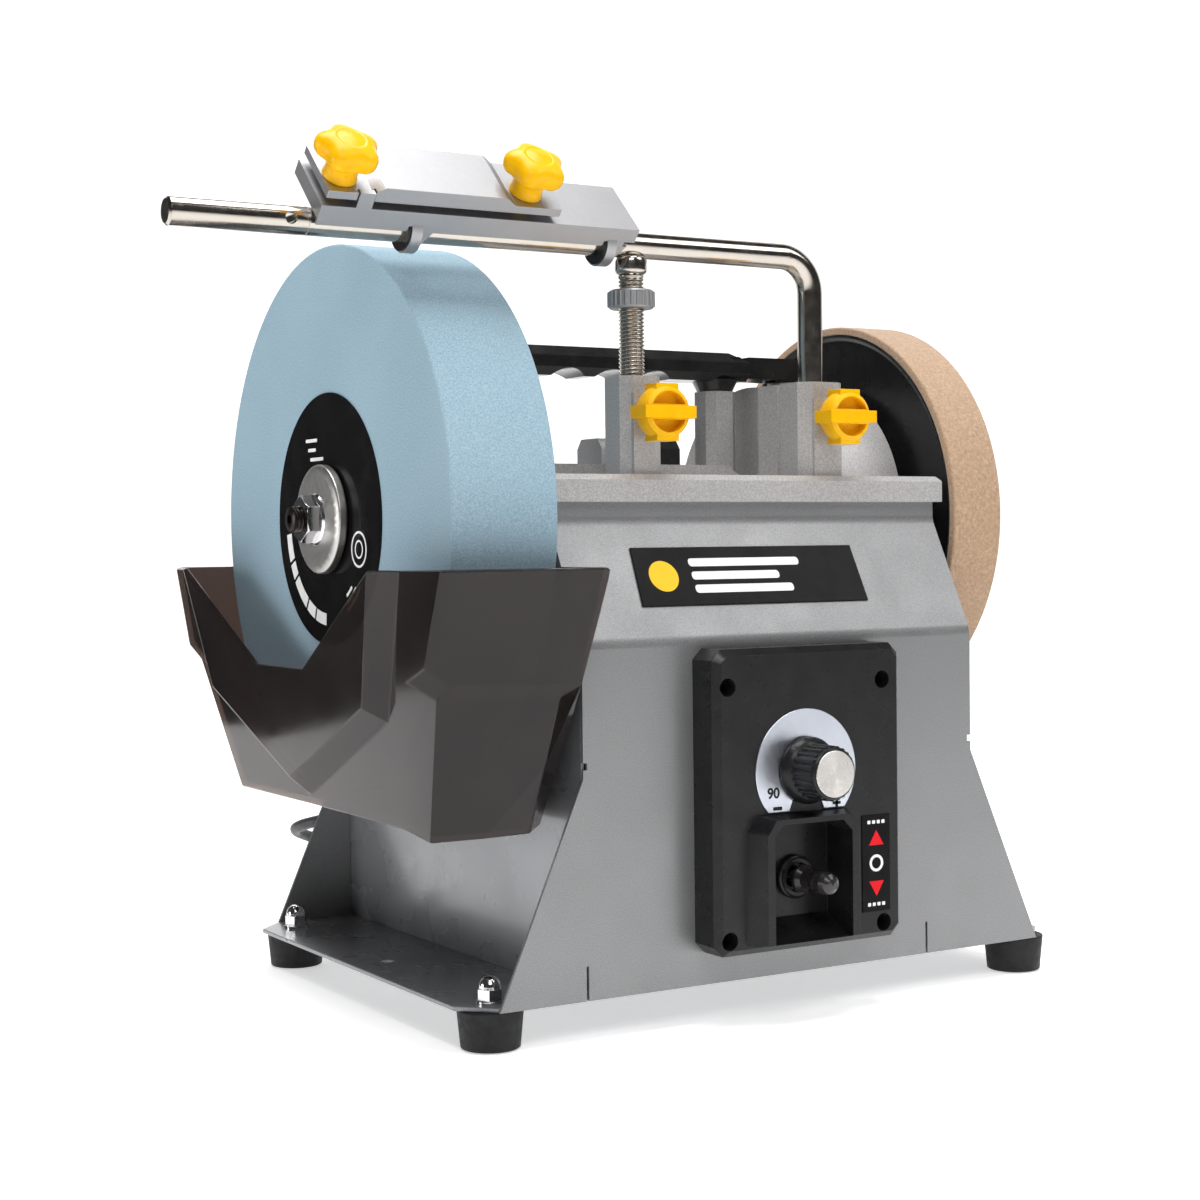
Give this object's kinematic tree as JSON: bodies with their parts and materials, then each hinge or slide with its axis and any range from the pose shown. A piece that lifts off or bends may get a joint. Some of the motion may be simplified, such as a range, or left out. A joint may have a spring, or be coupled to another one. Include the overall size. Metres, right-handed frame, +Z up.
{
  "type": "bench grinder",
  "caption": "Low-speed wet grinder with a large stone in a smoked water trough, a leather strop wheel, a bent support bar with a tool jig, a top handle and a front speed control.",
  "frame": {"origin": "on the floor, under the middle of the object's box without its cord", "axes": "+X along the shaft from the stone to the strop wheel, +Y to the rear, away from the controls, +Z up"},
  "size_m": [0.442, 0.4468, 0.3889],
  "materials": {
    "sheet_metal": "silver-grey fine-textured paint",
    "inner_metal": "smooth dark grey paint",
    "cast_metal": "light grey hammered paint on a die casting",
    "black_plastic": "satin black moulded plastic",
    "gloss_black": "glossy black print",
    "rubber_black": "soft black rubber",
    "cord_black": "black sheathed cord",
    "chrome_hardware": "bright plated steel",
    "nickel_rod": "warm nickel-plated steel",
    "satin_chrome": "satin chrome plate",
    "plain_steel": "turned steel",
    "black_steel": "blackened steel",
    "abrasive_stone": "light blue granular abrasive",
    "yellow_plastic": "yellow moulded plastic",
    "leather_tan": "tan leather band",
    "smoked_plastic": "translucent smoked brown plastic",
    "bronze_bush": "sintered bronze",
    "winding": "laminations and copper windings",
    "board_green": "green circuit board",
    "dial_metal": "pale satin dial"
  },
  "bodies": {
    "machine_body": {"front_sheet": "sheet_metal", "rear_sheet": "sheet_metal", "left_side_plate": "inner_metal", "right_side_plate": "inner_metal", "base_plate": "inner_metal", "rubber_feet": "rubber_black", "foot_bolts": "plain_steel", "acorn_nuts": "chrome_hardware", "top_casting": "cast_metal", "shaft_bushes": "bronze_bush", "carry_handle": "black_plastic", "handle_screws": "black_steel", "access_plug": "rubber_black", "badge_plate": "gloss_black", "control_box": "black_plastic", "box_screws": "black_steel", "dial_plate": "dial_metal", "potentiometer": "black_plastic", "switch_label": "gloss_black", "toggle_switch": "black_plastic", "toggle_collar": "black_plastic", "control_board": "board_green", "motor_housing": "plain_steel", "motor_stator": "winding", "motor_bracket": "inner_metal", "trough_hanger": "plain_steel", "cord_gland": "rubber_black", "mains_cord": "cord_black", "cord_coil": "cord_black", "plug_lead": "cord_black", "cord_tie": "black_plastic", "mains_plug": "black_plastic"},
    "main_shaft": {"main_shaft": "black_steel", "grinding_wheel": "abrasive_stone", "wheel_label": "gloss_black", "wheel_hub": "black_plastic", "wheel_washer": "plain_steel", "wheel_nut": "chrome_hardware", "inner_flange": "plain_steel", "drive_wheel": "black_plastic", "drive_tyre": "rubber_black", "strop_disc": "black_plastic", "strop_leather": "leather_tan", "strop_nut": "chrome_hardware"},
    "motor_rotor": {"motor_rotor": "plain_steel", "drive_roller": "rubber_black"},
    "support_bar": {"support_bar": "nickel_rod", "threaded_leg": "nickel_rod"},
    "adjuster_nut": {"adjuster_nut": "satin_chrome"},
    "post_knob_left": {"post_knob_left": "yellow_plastic"},
    "post_knob_right": {"post_knob_right": "yellow_plastic"},
    "jig_carriage": {"jig_bushes": "black_plastic"},
    "jig_base": {"jig_base": "satin_chrome"},
    "jig_clamp": {"jig_clamp_plate": "satin_chrome"},
    "jig_knob_left": {"jig_knob_left": "yellow_plastic"},
    "jig_knob_right": {"jig_knob_right": "yellow_plastic"},
    "speed_knob": {"speed_knob": "black_plastic", "knob_cap": "dial_metal"},
    "toggle_lever": {"toggle_lever": "rubber_black"},
    "water_trough": {"water_trough": "smoked_plastic"}
  },
  "joints": [
    {"name": "main_shaft_spin", "type": "hinge", "parent": "machine_body", "child": "main_shaft", "pos_m": [0.053, 0.003, 0.226], "axis": [1, 0, 0], "continuous": true},
    {"name": "motor_spin", "type": "hinge", "parent": "machine_body", "child": "motor_rotor", "pos_m": [0.053, 0.02665, 0.16102], "axis": [1, 0, 0], "continuous": true},
    {"name": "support_bar_height", "type": "slide", "parent": "machine_body", "child": "support_bar", "axis": [0, 0, 1], "range_m": [-0.008, 0.06]},
    {"name": "adjuster_nut_height", "type": "slide", "parent": "support_bar", "child": "adjuster_nut", "axis": [0, 0, 1], "range_m": [-0.022, 0.007]},
    {"name": "post_knob_left_turn", "type": "hinge", "parent": "machine_body", "child": "post_knob_left", "pos_m": [-0.0012, -0.087, 0.2715], "axis": [0, -1, 0], "range_deg": [0, 540]},
    {"name": "post_knob_right_turn", "type": "hinge", "parent": "machine_body", "child": "post_knob_right", "pos_m": [0.0998, -0.087, 0.2715], "axis": [0, -1, 0], "range_deg": [0, 540]},
    {"name": "jig_slide", "type": "slide", "parent": "support_bar", "child": "jig_carriage", "axis": [1, 0, 0], "range_m": [-0.095, 0]},
    {"name": "jig_tilt", "type": "hinge", "parent": "jig_carriage", "child": "jig_base", "pos_m": [-0.069, -0.0737, 0.349], "axis": [1, 0, 0], "range_deg": [-50, 30]},
    {"name": "jig_clamp_lift", "type": "slide", "parent": "jig_base", "child": "jig_clamp", "axis": [0, -0.7009, 0.7133], "range_m": [0, 0.003]},
    {"name": "jig_knob_left_turn", "type": "hinge", "parent": "jig_clamp", "child": "jig_knob_left", "pos_m": [-0.15, -0.08318, 0.36436], "axis": [0, -0.7009, 0.7133], "range_deg": [0, 540]},
    {"name": "jig_knob_right_turn", "type": "hinge", "parent": "jig_clamp", "child": "jig_knob_right", "pos_m": [-0.0623, -0.08318, 0.36436], "axis": [0, -0.7009, 0.7133], "range_deg": [0, 540]},
    {"name": "speed_knob_turn", "type": "hinge", "parent": "machine_body", "child": "speed_knob", "pos_m": [0.0495, -0.147, 0.1114], "axis": [0, 1, 0], "range_deg": [0, 270]},
    {"name": "toggle_tilt", "type": "hinge", "parent": "machine_body", "child": "toggle_lever", "pos_m": [0.0495, -0.123, 0.0625], "axis": [1, 0, 0], "range_deg": [-13, 13]},
    {"name": "trough_lift", "type": "slide", "parent": "machine_body", "child": "water_trough", "axis": [0, 0, 1], "range_m": [-0.02, 0]}
  ],
  "couplings": [
    {"joint": "motor_spin", "follows": "main_shaft_spin", "ratio": -6.6667}
  ]
}
